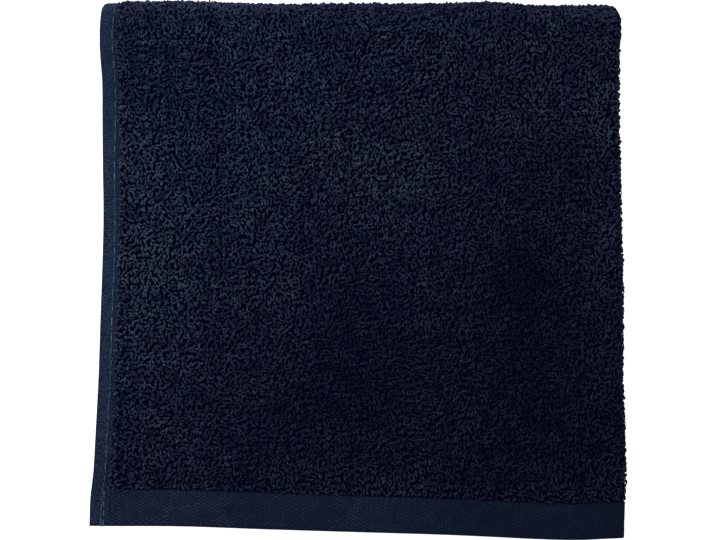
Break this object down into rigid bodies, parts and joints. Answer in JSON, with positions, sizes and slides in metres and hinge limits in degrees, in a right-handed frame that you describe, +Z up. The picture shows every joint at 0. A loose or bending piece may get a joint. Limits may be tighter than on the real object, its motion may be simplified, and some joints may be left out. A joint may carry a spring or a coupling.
{
  "type": "hand towel",
  "caption": "Folded navy terry hand towel: a square pad of stacked plies with the long fold on the right, side hems on the left and a flat woven end hem along the front.",
  "frame": {"origin": "on the surface the towel lies on, under the middle of its outline", "axes": "+Z up, through the plies; +Y towards the last cross fold, at the top of the picture; +X towards the lengthwise fold, at the right of the picture"},
  "size_m": [0.2562, 0.2576, 0.029],
  "materials": {
    "navy_terry": "matte cotton loop pile, flat woven at the hems"
  },
  "bodies": {
    "root": {"towel": "navy_terry"}
  },
  "joints": []
}
